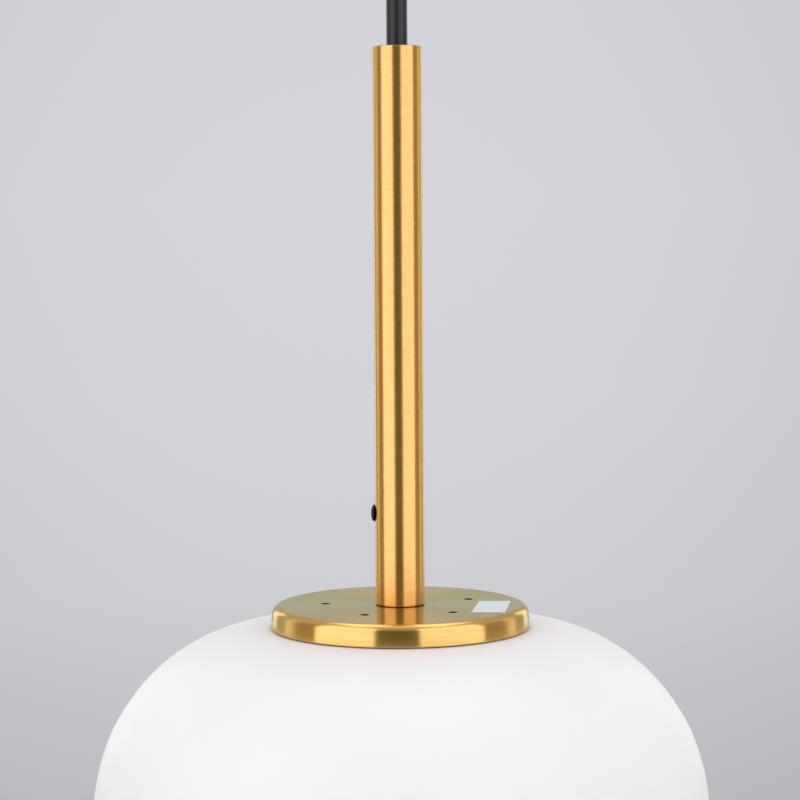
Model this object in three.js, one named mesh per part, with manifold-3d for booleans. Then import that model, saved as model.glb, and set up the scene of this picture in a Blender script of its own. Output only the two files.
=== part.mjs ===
// Pendant ceiling light: a ceiling cup, a thick cord, a brass stem with a flat
// disc cap, and a wide opal glass shade over a screw-in lamp.
// Millimetres, +Z up. The origin is the middle of the ceiling face of the
// mounting bracket, so the whole light hangs below z = 0.

import * as THREE from "three";
import { mergeVertices } from "three/addons/utils/BufferGeometryUtils.js";
import Module from "manifold-3d";

// ---------------------------------------------------------------- dimensions

const GAP = 0.3; // clearance kept between touching pieces

// ceiling end
const CUP_RADIUS = 50;
const CUP_DEPTH = 27;
const CUP_WALL = 1.2;
const CUP_FILLET = 3.2;
const STRAP_HALF = 47.6; // outer face of the bracket's turned-down ears
const STRAP_WIDTH = 18;
const STRAP_THICK = 1.6;
const EAR_DROP = 15;
const EAR_SCREW_Z = -9.5;

// cord
const CORD_RADIUS = 4.25;
const CORD_BEND_Z = -36; // middle of the short stretch that bends in the grip
const STEM_TOP_Z = -101;

// stem
const STEM_LENGTH = 225.6;
const STEM_RADIUS = 10;
const STEM_BORE = 9;
const DISC_Z = STEM_TOP_Z - STEM_LENGTH; // top face of the disc cap
const LOCK_SCREW_UP = 37.3;
const LOCK_SCREW_ANGLE = 172;

// disc cap
const DISC_RADIUS = 52.3;
const DISC_SKIRT = 8.7;
const DISC_FILLET = 3.2;
const DISC_WALL = 1.5;
const PLATE_HOLE_RADIUS = 30.5; // circle on which the plate screws sit
const PLATE_HOLE_SIZE = 1.8;
const PLATE_SCREW_ANGLES = { a: 177, b: 242.5, c: 313.5, e: 99 };
const OPEN_HOLE_ANGLE = 22.5;

// opal shade: outer outline from the disc's edge to the underside, then the
// bore of the neck, as [radius, depth below the disc's top face]
const SHADE_WALL = 3.4;
const SHADE_OUTLINE = [
  [47.4, 3.4], [47.6, 8.0], [49.6, 9.2], [57.0, 9.4], [66.0, 10.3], [74.5, 12.3],
  [82.3, 15.2], [90.5, 19.7], [98.2, 25.3], [106.2, 33.2], [113.5, 43.1],
  [118.2, 51.6], [121.8, 61.3], [124.0, 70.0], [125.2, 79.5], [125.1, 89.0],
  [123.0, 99.5], [118.2, 110.0], [110.4, 119.4], [99.0, 127.2], [85.0, 133.2],
  [68.0, 137.8], [48.0, 140.8], [25.0, 142.4], [0.0, 143.0],
];
const NECK_BORE = 43.6;
const SHADE_WIDEST = 83.5; // depth of the widest ring

// spring clips that grip the bore of the neck
const CLIP_ANGLES = [30, 150, 270];
const CLIP_WIDTH = 9;
const CLIP_THICK = 0.6;

// lamp holder and lamp, as depths below the disc's top face
const NIPPLE_RADIUS = 5;
const NIPPLE_BORE = 3.6;
const HOLDER_TOP = 11;
const HOLDER_JOINT = 31;
const HOLDER_END = 58;
const HOLDER_RADIUS = 20;
const LAMP_TIP = 35.4;
const LAMP_RADIUS = 23;
const LAMP_CENTRE = 93;

// ----------------------------------------------------------------- materials

function finish(color, roughness, metalness) {
  return new THREE.MeshStandardMaterial({ color, roughness, metalness });
}

const BRASS = finish(0xc79a4e, 0.34, 1.0);
const DARK_SCREW = finish(0x23302b, 0.45, 0.6);
const STEEL = finish(0xb9bcc0, 0.35, 1.0);
const NICKEL = finish(0xcfcfca, 0.28, 1.0);
const COPPER_ALLOY = finish(0xd0a055, 0.35, 1.0);
const OPAL = finish(0xf3f1ee, 0.32, 0.0);
const CORD_BLACK = finish(0x2c2a2c, 0.42, 0.0);
const RUBBER = finish(0x1d1d1e, 0.7, 0.0);
const NYLON = finish(0xe9e6dc, 0.5, 0.0);
const BLACK_PLASTIC = finish(0x222222, 0.5, 0.0);
const PORCELAIN = finish(0xf2efe8, 0.25, 0.0);
const LABEL = finish(0xdfeae6, 0.6, 0.0);
const BROWN_WIRE = finish(0x5b3420, 0.45, 0.0);
const BLUE_WIRE = finish(0x2f5f9e, 0.45, 0.0);
const GREEN_WIRE = finish(0x6d9a2f, 0.45, 0.0);

// ------------------------------------------------------------------- helpers

const wasm = await Module();
wasm.setup();

const light = new THREE.Group();

// A welded copy with its faces pointing out.
function welded(geometry) {
  const bare = geometry.index ? geometry.toNonIndexed() : geometry.clone();
  bare.deleteAttribute("normal");
  bare.deleteAttribute("uv");
  const merged = mergeVertices(bare, 1e-4);
  const p = merged.attributes.position.array;
  const index = Array.from(merged.index.array);
  const kept = [];
  let volume = 0;
  for (let i = 0; i < index.length; i += 3) {
    const [a, b, c] = index.slice(i, i + 3);
    if (a === b || b === c || a === c) continue;
    kept.push(a, b, c);
    const [ax, ay, az] = p.slice(3 * a, 3 * a + 3);
    const [bx, by, bz] = p.slice(3 * b, 3 * b + 3);
    const [cx, cy, cz] = p.slice(3 * c, 3 * c + 3);
    volume += ax * (by * cz - bz * cy) + ay * (bz * cx - bx * cz) + az * (bx * cy - by * cx);
  }
  if (volume < 0) {
    for (let i = 0; i < kept.length; i += 3) {
      [kept[i + 1], kept[i + 2]] = [kept[i + 2], kept[i + 1]];
    }
  }
  merged.setIndex(kept);
  return merged;
}

function solid(geometry) {
  const g = welded(geometry);
  const mesh = new wasm.Mesh({
    numProp: 3,
    vertProperties: new Float32Array(g.attributes.position.array),
    triVerts: new Uint32Array(g.index.array),
  });
  return new wasm.Manifold(mesh);
}

function surface(manifold) {
  const mesh = manifold.getMesh();
  const g = new THREE.BufferGeometry();
  g.setAttribute("position", new THREE.BufferAttribute(new Float32Array(mesh.vertProperties), 3));
  g.setIndex(new THREE.BufferAttribute(new Uint32Array(mesh.triVerts), 1));
  return g;
}

// base geometry with every geometry in tools taken away
function cut(base, tools) {
  let result = solid(base);
  for (const tool of tools) result = result.subtract(solid(tool));
  return surface(result);
}

// Solid of revolution about Z from [radius, z] points.
function turned(points, segments = 32) {
  const profile = points.map(([r, z]) => new THREE.Vector2(r, z));
  const onAxis = points[0][0] === 0 && points[points.length - 1][0] === 0;
  if (!onAxis) profile.push(profile[0].clone());
  return welded(new THREE.LatheGeometry(profile, segments).rotateX(Math.PI / 2));
}

// Ring or tube between two radii and two heights.
function ring(inner, outer, low, high, segments = 32) {
  return turned([[inner, low], [outer, low], [outer, high], [inner, high]], segments);
}

function rod(radius, low, high, segments = 16) {
  return turned([[0, low], [radius, low], [radius, high], [0, high]], segments);
}

function box(x, y, z, cx = 0, cy = 0, cz = 0) {
  return new THREE.BoxGeometry(x, y, z).translate(cx, cy, cz);
}

// Hexagonal prism along Z, measured across flats.
function hexagon(flats, low, high) {
  const radius = flats / Math.sqrt(3);
  const height = high - low;
  return new THREE.CylinderGeometry(radius, radius, height, 6)
    .rotateX(Math.PI / 2)
    .translate(0, 0, (low + high) / 2);
}

// Flat outline in X and Z, thickened along Y.
function slab(points, width) {
  const shape = new THREE.Shape(points.map(([x, z]) => new THREE.Vector2(x, z)));
  return new THREE.ExtrudeGeometry(shape, { depth: width, bevelEnabled: false, steps: 1 })
    .rotateX(Math.PI / 2)
    .translate(0, width / 2, 0);
}

// Round wire through a list of points.
function wire(points, radius, steps = 8, sides = 6) {
  const path = new THREE.CatmullRomCurve3(points.map((p) => new THREE.Vector3(...p)));
  const section = new THREE.Shape();
  section.absarc(0, 0, radius, 0, 2 * Math.PI, false);
  return new THREE.ExtrudeGeometry(section, {
    steps,
    extrudePath: path,
    curveSegments: sides,
    bevelEnabled: false,
  });
}

// Quarter-round corner points from one angle to another, in degrees.
function corner(r, z, radius, from, to, steps = 4) {
  const points = [];
  for (let i = 0; i <= steps; i += 1) {
    const angle = THREE.MathUtils.degToRad(from + ((to - from) * i) / steps);
    points.push([r + radius * Math.cos(angle), z + radius * Math.sin(angle)]);
  }
  return points;
}

function place(name, geometry, material, { at = [0, 0, 0], turn = [0, 0, 0] } = {}) {
  const mesh = new THREE.Mesh(geometry, material);
  mesh.name = name;
  mesh.position.set(...at);
  mesh.rotation.set(...turn.map((a) => THREE.MathUtils.degToRad(a)), "ZYX");
  light.add(mesh);
  return mesh;
}

function polar(radius, degrees) {
  const angle = THREE.MathUtils.degToRad(degrees);
  return [radius * Math.cos(angle), radius * Math.sin(angle)];
}

// Height of a depth measured below the disc's top face.
function below(depth) {
  return DISC_Z - depth;
}

// --------------------------------------------------------------- ceiling end

// Bent steel strap; its ears have slots that open downwards, so the cup lifts
// straight on and is clamped by its two side screws.
const strapOutline = [
  [-STRAP_HALF, 0], [-STRAP_HALF, -EAR_DROP], [-STRAP_HALF + STRAP_THICK, -EAR_DROP],
  [-STRAP_HALF + STRAP_THICK, -STRAP_THICK], [STRAP_HALF - STRAP_THICK, -STRAP_THICK],
  [STRAP_HALF - STRAP_THICK, -EAR_DROP], [STRAP_HALF, -EAR_DROP], [STRAP_HALF, 0],
];
const strapCuts = [];
for (const side of [-1, 1]) {
  strapCuts.push(box(14, 5, 6, side * 26, 0, -1));
  const slotHeight = EAR_DROP + EAR_SCREW_Z + 3;
  strapCuts.push(box(6, 4.6, slotHeight, side * STRAP_HALF, 0, -EAR_DROP - 1 + slotHeight / 2));
}
strapCuts.push(rod(1.7, -5, 5, 16).translate(10, 5.6, 0));
place("ceiling_bracket", cut(slab(strapOutline, STRAP_WIDTH), strapCuts), STEEL);

// Brass cup over the bracket, rounded at its lower edge.
const cupInner = CUP_RADIUS - CUP_WALL;
const cupProfile = [
  [6.4, -CUP_DEPTH],
  ...corner(CUP_RADIUS - CUP_FILLET, -CUP_DEPTH + CUP_FILLET, CUP_FILLET, -90, 0),
  [CUP_RADIUS, -0.6],
  [cupInner, -0.6],
  ...corner(cupInner - 2, -CUP_DEPTH + CUP_WALL + 2, 2, 0, -90, 3),
  [6.4, -CUP_DEPTH + CUP_WALL],
];
const cupHoles = [-1, 1].map((side) => rod(2.2, -4, 4, 12)
  .rotateY(Math.PI / 2)
  .translate(side * CUP_RADIUS, 0, EAR_SCREW_Z));
place("ceiling_cup", cut(turned(cupProfile, 48), cupHoles), BRASS);

// Knurled side screws that clamp the cup on the bracket's ears.
const cupScrew = turned([
  [0, -7.2], [1.7, -7.2], [1.7, GAP], [3.6, GAP], [4.0, 0.8], [4.0, 4.2], [3.4, 4.9], [0, 4.9],
], 24);
place("cup_screw_left", cupScrew, BRASS, { at: [-CUP_RADIUS, 0, EAR_SCREW_Z], turn: [0, -90, 0] });
place("cup_screw_right", cupScrew, BRASS, { at: [CUP_RADIUS, 0, EAR_SCREW_Z], turn: [0, 90, 0] });

// Cord grip through the bottom of the cup: threaded body, nut above, cap below.
const gripBody = turned([
  [4.9, -33], [6.1, -33], [6.1, -CUP_DEPTH - 3], [9, -CUP_DEPTH - 3],
  [9, -CUP_DEPTH - GAP], [6.1, -CUP_DEPTH - GAP], [6.1, -19.4], [4.9, -19.4],
], 32);
place("grip_body", gripBody, BRASS);
place("grip_nut", cut(hexagon(17, -25.5, -21.7), [rod(6.4, -30, -18, 32)]), NICKEL);
const gripCap = turned([
  [6.4, -CUP_DEPTH - 3.3], [9, -CUP_DEPTH - 3.3], [9, -37.4],
  ...corner(7, -37.4, 2, 0, -90, 3), [5.1, -39.4], [5.1, -36.4], [6.4, -36.4],
], 32);
place("grip_cap", gripCap, BRASS);
place("grip_bush", ring(4.55, 6.1, -36.1, -33.3, 24), RUBBER);

// The cord's end inside the cup, and the short stretch that bends in the grip.
place("cord_tail", rod(CORD_RADIUS, CORD_BEND_Z + CORD_RADIUS + GAP, -17, 16), CORD_BLACK);
const bend = new THREE.SphereGeometry(CORD_RADIUS, 16, 10);
place("cord_bend", welded(bend), CORD_BLACK, { at: [0, 0, CORD_BEND_Z] });

// Terminal block under the bracket, with a screw for each of its four ends.
const block = box(20, 15, 11, -27, 0, -STRAP_THICK - GAP - 5.5);
const blockCuts = [];
for (const y of [-3.6, 3.6]) {
  blockCuts.push(rod(1.5, -12, 12, 12).rotateY(Math.PI / 2).translate(-27, y, -6.4));
  for (const x of [-31.5, -22.5]) blockCuts.push(rod(1.5, -8, 1.4, 12).translate(x, y, -8));
}
place("terminal_block", cut(block, blockCuts), NYLON);
let poles = 0;
for (const y of [-3.6, 3.6]) {
  for (const x of [-31.5, -22.5]) {
    poles += 1;
    const screw = turned([[0, -4.2], [1.2, -4.2], [1.2, 0], [0, 0]], 12);
    place(`terminal_screw_${poles}`, screw, NICKEL, { at: [x, y, -8.2] });
  }
}

// Earth screw and washer in the bracket's tapped hole.
place("earth_washer", ring(1.9, 3.8, -3.0, -STRAP_THICK - GAP, 20).translate(10, 5.6, 0), COPPER_ALLOY);
const earthScrew = turned([
  [0, -5.6], [2.8, -5.6], [3.1, -5.2], [3.1, -3.3], [1.4, -3.3], [1.4, -0.5], [0, -0.5],
], 20);
place("earth_screw", earthScrew, COPPER_ALLOY, { at: [10, 5.6, 0] });

// Three insulated wires from the cord's end to the block and the earth screw.
place("wire_live", wire([
  [-1.9, -1.2, -16.2], [-2.6, -1.8, -13.8], [-6.5, -3.2, -9.2], [-11, -3.6, -6.8], [-16.6, -3.6, -6.4],
], 0.95), BROWN_WIRE);
place("wire_neutral", wire([
  [-1.9, 1.4, -16.2], [-2.6, 2, -13.8], [-6.5, 3.4, -9.2], [-11, 3.6, -6.8], [-16.6, 3.6, -6.4],
], 0.95), BLUE_WIRE);
place("wire_earth", wire([
  [2.2, 0, -16.1], [3.4, 0.4, -14.4], [6.5, 2.6, -11.4], [9.2, 4.8, -8.8], [10, 5.6, -6.9],
], 0.95), GREEN_WIRE);

// ----------------------------------------------------------- cord and stem

// The cord runs from the grip into the stem and ends above the threaded pipe.
const cordEnd = DISC_Z + 62;
const cordLine = [];
for (let i = 0; i <= 4; i += 1) {
  cordLine.push([0, 0, THREE.MathUtils.lerp(CORD_BEND_Z - 4.9, cordEnd, i / 4)]);
}
place("cord", wire(cordLine, CORD_RADIUS, 12, 6), CORD_BLACK);

place("stem_bush", ring(4.6, STEM_BORE - GAP, STEM_TOP_Z - 9, STEM_TOP_Z - 0.4, 32), BLACK_PLASTIC);

const stemLow = DISC_Z + 0.5;
const lockHole = rod(2.3, 6, 14, 16)
  .rotateY(Math.PI / 2)
  .rotateZ(THREE.MathUtils.degToRad(LOCK_SCREW_ANGLE))
  .translate(0, 0, DISC_Z + LOCK_SCREW_UP);
const stemProfile = [
  [STEM_BORE, stemLow], [STEM_RADIUS - 0.25, stemLow], [STEM_RADIUS, stemLow + 0.3],
  [STEM_RADIUS, STEM_TOP_Z - 0.3], [STEM_RADIUS - 0.3, STEM_TOP_Z], [STEM_BORE, STEM_TOP_Z],
];
place("stem_tube", cut(turned(stemProfile, 48), [lockHole]), BRASS);

// Plug that carries the stem on the threaded pipe; the lock screw bites in it.
const plugBore = rod(2.0, 2, 14, 16)
  .rotateY(Math.PI / 2)
  .rotateZ(THREE.MathUtils.degToRad(LOCK_SCREW_ANGLE))
  .translate(0, 0, DISC_Z + LOCK_SCREW_UP);
const plug = ring(NIPPLE_RADIUS + GAP, STEM_BORE - GAP, DISC_Z + GAP, DISC_Z + 46, 32);
place("stem_plug", cut(plug, [plugBore]), BRASS);

const lockScrew = turned([
  [0, 5.8], [1.6, 5.8], [1.6, 10.35], [3.5, 10.35], [3.5, 10.75], [3.1, 11.35], [2.3, 11.8],
  [1.2, 12.05], [0, 12.1],
], 24).rotateY(Math.PI / 2);
const lockSlot = box(0.8, 8, 0.8, 12.0, 0, 0);
place("lock_screw", cut(lockScrew, [lockSlot]), DARK_SCREW, {
  at: [0, 0, DISC_Z + LOCK_SCREW_UP],
  turn: [0, 0, LOCK_SCREW_ANGLE],
});

place("threaded_pipe", ring(NIPPLE_BORE, NIPPLE_RADIUS, below(19), DISC_Z + 52, 32), COPPER_ALLOY);
place("pipe_washer", ring(NIPPLE_RADIUS + GAP, 8.6, below(4.5), below(3.7), 32), STEEL);
place("pipe_nut", cut(hexagon(14, below(8.8), below(4.8)), [rod(5.3, -500, 0, 32)]), STEEL);

// ---------------------------------------------------------------- disc cap

const underside = DISC_Z - DISC_WALL;
const discProfile = [
  [5.4, DISC_Z],
  ...corner(DISC_RADIUS - DISC_FILLET, DISC_Z - DISC_FILLET, DISC_FILLET, 90, 0),
  [DISC_RADIUS, DISC_Z - DISC_SKIRT + 0.2],
  [DISC_RADIUS - 0.2, DISC_Z - DISC_SKIRT],
  [DISC_RADIUS - DISC_WALL, DISC_Z - DISC_SKIRT],
  ...corner(DISC_RADIUS - DISC_WALL - 1.8, underside - 1.8, 1.8, 0, 90, 3),
  [5.4, underside],
];
const discHoles = [...Object.values(PLATE_SCREW_ANGLES), OPEN_HOLE_ANGLE].map((angle) => {
  const [x, y] = polar(PLATE_HOLE_RADIUS, angle);
  return rod(PLATE_HOLE_SIZE, -6, 4, 12).translate(x, y, DISC_Z);
});
place("disc_cap", cut(turned(discProfile, 56), discHoles), BRASS);

// Plain sticker on the disc.
const labelShape = new THREE.Shape([
  new THREE.Vector2(28.8, -24.4), new THREE.Vector2(40.8, -24.9),
  new THREE.Vector2(45.0, 4.0), new THREE.Vector2(33.0, 4.5),
]);
place("label", new THREE.ExtrudeGeometry(labelShape, { depth: 0.12, bevelEnabled: false })
  .translate(0, 0, DISC_Z + GAP), LABEL);

// Steel plate under the disc that carries the three spring clips.
const plate = ring(NIPPLE_RADIUS + GAP, 36, below(3.4), below(1.8), 40);
const plateHoles = Object.values(PLATE_SCREW_ANGLES).map((angle) => {
  const [x, y] = polar(PLATE_HOLE_RADIUS, angle);
  return rod(1.8, -6, 4, 8).translate(x, y, DISC_Z);
});
place("clip_plate", cut(plate, plateHoles), STEEL);

// Screws from below; their rounded ends stand just under the disc's face.
const plateScrew = turned([
  [0, -5.7], [2.4, -5.7], [2.7, -5.3], [2.7, -3.7], [1.35, -3.7], [1.35, -0.5], [0.9, -0.2], [0, -0.1],
], 12);
for (const [key, angle] of Object.entries(PLATE_SCREW_ANGLES)) {
  const [x, y] = polar(PLATE_HOLE_RADIUS, angle);
  place(`plate_screw_${key}`, plateScrew, BRASS, { at: [x, y, DISC_Z] });
}

// Each clip is a bent leaf: a foot under the plate, a drop through the neck,
// and a bulge that presses on the neck's bore.
const clipSpine = [
  [20.5, -4.0], [36.6, -4.0], [38.6, -4.7], [40.2, -6.6], [41.9, -8.8], [42.6, -10.4],
  [41.9, -12.2], [39.8, -15.4], [38.4, -18.2],
];
const clipOutline = [];
const clipBack = [];
clipSpine.forEach(([r, z], i) => {
  const [pr, pz] = clipSpine[Math.max(i - 1, 0)];
  const [nr, nz] = clipSpine[Math.min(i + 1, clipSpine.length - 1)];
  const length = Math.hypot(nr - pr, nz - pz);
  const dr = (-(nz - pz) / length) * (CLIP_THICK / 2);
  const dz = ((nr - pr) / length) * (CLIP_THICK / 2);
  clipOutline.push([r + dr, z + dz]);
  clipBack.unshift([r - dr, z - dz]);
});
const clipLeaf = slab([...clipOutline, ...clipBack], CLIP_WIDTH);
const clipCut = cut(clipLeaf, [rod(1.7, -8, 0, 12).translate(24.5, 0, 0)]);
const clipRivet = turned([
  [0, -5.9], [1.8, -5.9], [2.4, -5.5], [2.4, -4.6], [1.4, -4.6], [1.4, -3.7], [0, -3.7],
], 12);
CLIP_ANGLES.forEach((angle, i) => {
  place(`spring_clip_${i + 1}`, clipCut, STEEL, { at: [0, 0, DISC_Z], turn: [0, 0, angle] });
  const [x, y] = polar(24.5, angle);
  place(`clip_rivet_${i + 1}`, clipRivet, STEEL, { at: [x, y, DISC_Z] });
});

// Soft ring between the disc and the rim of the glass.
place("shade_gasket", ring(43.9, 47.2, below(3.1), below(1.8), 40), RUBBER);

// ------------------------------------------------------------------- shade

// Smooth closed outline: the outside, then the same outline moved inwards.
const outline = new THREE.SplineCurve(SHADE_OUTLINE.slice(2).map(([r, d]) => new THREE.Vector2(r, -d)));
const outside = outline.getPoints(30);
const insideWall = [];
for (let i = outside.length - 1; i >= 0; i -= 2) {
  const tangent = outline.getTangent(i / 30);
  const r = outside[i].x + tangent.y * SHADE_WALL;
  const z = outside[i].y - tangent.x * SHADE_WALL;
  if (r > NECK_BORE + 2.5) insideWall.push([r, z]);
}
insideWall.unshift([0, outside[outside.length - 1].y + SHADE_WALL]);
const shadeProfile = [
  ...SHADE_OUTLINE.slice(0, 2).map(([r, d]) => [r, -d]),
  ...outside.map((p) => [Math.max(p.x, 0), p.y]),
];
shadeProfile[shadeProfile.length - 1][0] = 0;
const shadeInner = [
  [0, insideWall[0][1]],
  ...insideWall.slice(1).filter(([r]) => r > 6),
  [NECK_BORE, -12.2], [NECK_BORE, -3.4],
];
// One piece of glass, stated as two solids that meet at its widest ring.
const shadeShell = turnedShell(shadeProfile, shadeInner);
const seam = -SHADE_WIDEST;
place("glass_shade_upper", cut(shadeShell, [box(300, 300, 100, 0, 0, seam + GAP / 2 - 50)]), OPAL,
  { at: [0, 0, DISC_Z] });
place("glass_shade_lower", cut(shadeShell, [box(300, 300, 100, 0, 0, seam - GAP / 2 + 50)]), OPAL,
  { at: [0, 0, DISC_Z] });

// Outside surface down to the axis, then back up the inside to the rim.
function turnedShell(outer, inner) {
  const profile = [...outer, ...inner].map(([r, z]) => new THREE.Vector2(r, z));
  profile.push(profile[0].clone());
  return welded(new THREE.LatheGeometry(profile, 48).rotateX(Math.PI / 2));
}

// ------------------------------------------------------- lamp holder and lamp

// Upper half of the lamp holder, screwed on the threaded pipe.
const holderCap = turned([
  [NIPPLE_RADIUS + GAP, below(HOLDER_TOP)], [8.2, below(HOLDER_TOP)], [8.2, below(15.5)],
  [14, below(17.5)], [18.4, below(21.5)], [HOLDER_RADIUS, below(26)],
  [HOLDER_RADIUS, below(HOLDER_JOINT)], [18.2, below(HOLDER_JOINT)], [18.2, below(26.4)],
  [16.6, below(22.6)], [13, below(19.4)], [NIPPLE_RADIUS + GAP, below(18)],
], 32);
place("holder_cap", holderCap, BLACK_PLASTIC);

// Porcelain base with the two ends of the wiring behind it.
const holderBase = cut(
  turned([
    [0, below(26.5)], [15.6, below(26.5)], [17.4, below(28)], [17.4, below(33.2)], [0, below(33.2)],
  ], 32),
  [box(3.4, 3.4, 9, 9, 0, below(30)), box(3.4, 3.4, 9, -9, 0, below(30))],
);
place("holder_base", holderBase, PORCELAIN);

// Lower half, a plain sleeve with a turned-in lip.
const holderSleeve = turned([
  [HOLDER_RADIUS, below(HOLDER_JOINT + GAP)], [HOLDER_RADIUS, below(HOLDER_END - 1)],
  [HOLDER_RADIUS - 1, below(HOLDER_END)], [15.4, below(HOLDER_END)], [15.4, below(HOLDER_END - 1.8)],
  [18.2, below(HOLDER_END - 1.8)], [18.2, below(HOLDER_JOINT + GAP)],
], 32);
place("holder_sleeve", holderSleeve, BLACK_PLASTIC);

// Rolled thread shell for the lamp: one rounded ring for each turn.
const shellProfile = [];
const shellBack = [];
for (let i = 0; i <= 10; i += 1) {
  const z = below(34.2 + i * 1.9);
  const swell = i % 2 === 0 ? 0.45 : -0.45;
  shellProfile.push([14.7 + swell, z]);
  shellBack.unshift([14.2 + swell, z]);
}
place("thread_shell", turned([...shellProfile, ...shellBack], 28), COPPER_ALLOY);
place("centre_contact", slab([
  [-4.5, below(33.6)], [1.5, below(33.6)], [3.2, below(34.4)], [3.0, below(34.9)], [1.2, below(34.2)],
  [-4.5, below(34.1)],
], 3.2), COPPER_ALLOY);

// Wires from the cord's end through the pipe to the holder's base.
place("lead_live", wire([
  [1.6, 0, DISC_Z + 61], [1.6, 0, DISC_Z + 30], [1.6, 0, below(2)], [1.6, 0, below(12)], [1.7, 0, below(20.4)],
  [4.6, 0, below(23.6)], [9, 0, below(25.2)],
], 0.95), BROWN_WIRE);
place("lead_neutral", wire([
  [-1.6, 0, DISC_Z + 61], [-1.6, 0, DISC_Z + 30], [-1.6, 0, below(2)], [-1.6, 0, below(12)], [-1.7, 0, below(20.4)],
  [-4.6, 0, below(23.6)], [-9, 0, below(25.2)],
], 0.95), BLUE_WIRE);

// Lamp: contact, insulator, threaded cap, collar and an open-necked envelope.
place("lamp_contact", turned([
  [0, below(LAMP_TIP)], [2.4, below(LAMP_TIP + 0.3)], [4.4, below(LAMP_TIP + 1.2)], [4.4, below(LAMP_TIP + 1.6)],
  [0, below(LAMP_TIP + 1.6)],
], 20), NICKEL);
place("lamp_insulator", turned([
  [0, below(LAMP_TIP + 1.9)], [5, below(LAMP_TIP + 1.9)], [10.4, below(LAMP_TIP + 4.4)],
  [10.4, below(LAMP_TIP + 5.2)], [0, below(LAMP_TIP + 5.2)],
], 28), BLACK_PLASTIC);
const capProfile = [[0, below(41)], [11.4, below(41)]];
for (let i = 0; i <= 8; i += 1) {
  capProfile.push([i % 2 === 0 ? 12.4 : 13.2, below(42.4 + i * 1.9)]);
}
capProfile.push([12.6, below(59.4)], [0, below(59.4)]);
place("lamp_cap", turned(capProfile, 28), NICKEL);
place("lamp_collar", turned([
  [0, below(59.8)], [13.4, below(59.8)], [14.0, below(61)], [16.8, below(70)], [20, below(78.4)],
  [0, below(78.4)],
], 32), NYLON);

const bulbOuter = [];
const bulbInner = [];
const rimAngle = Math.acos(20.1 / LAMP_RADIUS);
for (let i = 0; i <= 9; i += 1) {
  const angle = THREE.MathUtils.lerp(rimAngle, -Math.PI / 2, i / 9);
  bulbOuter.push([LAMP_RADIUS * Math.cos(angle), below(LAMP_CENTRE) + LAMP_RADIUS * Math.sin(angle)]);
  const inner = LAMP_RADIUS - 1.2;
  bulbInner.unshift([inner * Math.cos(angle), below(LAMP_CENTRE) + inner * Math.sin(angle)]);
}
bulbOuter[bulbOuter.length - 1][0] = 0;
bulbInner[0][0] = 0;
const neckTop = below(78.8);
const bulbNeck = [[18.8, bulbInner[9][1]], [18.8, neckTop]];
place("lamp_envelope", turnedBulb([[20.1, neckTop], ...bulbOuter], [...bulbInner, ...bulbNeck]), OPAL);
place("lamp_board", rod(17.6, below(80.6), below(79), 32), NYLON);

function turnedBulb(outer, inner) {
  const profile = [...outer, ...inner].map(([r, z]) => new THREE.Vector2(r, z));
  profile.push(profile[0].clone());
  return welded(new THREE.LatheGeometry(profile, 32).rotateX(Math.PI / 2));
}

export default light;
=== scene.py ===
"""Looks of a pendant ceiling light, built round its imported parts.

A brass stem and disc cap hang on a black cord over a wide opal glass shade.
The ceiling cup, the cord grip, the spring clips, the lamp holder and the lamp
are built too. Lengths are in millimetres in the light's own frame until a mesh
is made. The camera, the backdrop and the lamps round it are placed in metres.
"""

import math

import bmesh
import bpy
from mathutils import Matrix, Vector


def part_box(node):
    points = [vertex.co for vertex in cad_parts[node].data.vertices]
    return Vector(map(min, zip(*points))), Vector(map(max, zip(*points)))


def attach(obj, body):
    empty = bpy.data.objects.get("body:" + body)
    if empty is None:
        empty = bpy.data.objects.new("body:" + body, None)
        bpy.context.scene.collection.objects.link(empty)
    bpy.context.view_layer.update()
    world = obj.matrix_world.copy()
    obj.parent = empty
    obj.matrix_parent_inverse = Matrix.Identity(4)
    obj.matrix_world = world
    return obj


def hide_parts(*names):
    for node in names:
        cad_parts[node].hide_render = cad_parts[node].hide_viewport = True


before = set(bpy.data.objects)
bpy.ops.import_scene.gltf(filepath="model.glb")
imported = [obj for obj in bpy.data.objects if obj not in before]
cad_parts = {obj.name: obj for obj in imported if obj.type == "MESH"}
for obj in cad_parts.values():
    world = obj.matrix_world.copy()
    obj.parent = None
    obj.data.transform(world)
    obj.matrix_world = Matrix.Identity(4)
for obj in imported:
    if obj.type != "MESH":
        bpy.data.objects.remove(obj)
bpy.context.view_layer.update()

MM = 0.001


# ------------------------------------------------------------ sizes and places

def ends(node):
    """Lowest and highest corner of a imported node."""
    low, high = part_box(node)
    return [v / MM for v in low], [v / MM for v in high]


def bottom(node):
    return ends(node)[0][2]


def top(node):
    return ends(node)[1][2]


def span(node):
    """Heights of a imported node's lowest and highest points."""
    return bottom(node), top(node)


def half(node):
    """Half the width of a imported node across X, the radius of a turned one."""
    low, high = ends(node)
    return (high[0] - low[0]) / 2


DISC = top("disc_cap")
STEM_TOP = top("stem_tube")
CUP_SCREW_HEIGHT = sum(span("cup_screw_left")) / 2
CUP_SCREW_SEAT = 50.0
CORD_BEND = sum(span("cord_bend")) / 2
LOCK_SCREW_PLACE = (0, 0, sum(span("lock_screw")) / 2)
LOCK_SCREW_TURNS = [(90, "Y"), (172, "Z")]
EARTH_SCREW_PLACE = (10, 5.6, 0)
PLATE_HOLE_CIRCLE = 30.5
PLATE_SCREW_ANGLES = (177, 242.5, 313.5, 99)
OPEN_HOLE_ANGLE = 22.5
CLIP_ANGLES = (30, 150, 270)
CLIP_RIVET_CIRCLE = 24.5
LAMP_PITCH = 3.63
WIRE_RADIUS = 0.95
TERMINAL_ROWS = (-3.6, 3.6)
TERMINAL_SCREW_STEPS = (-4.5, 4.5)


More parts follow.
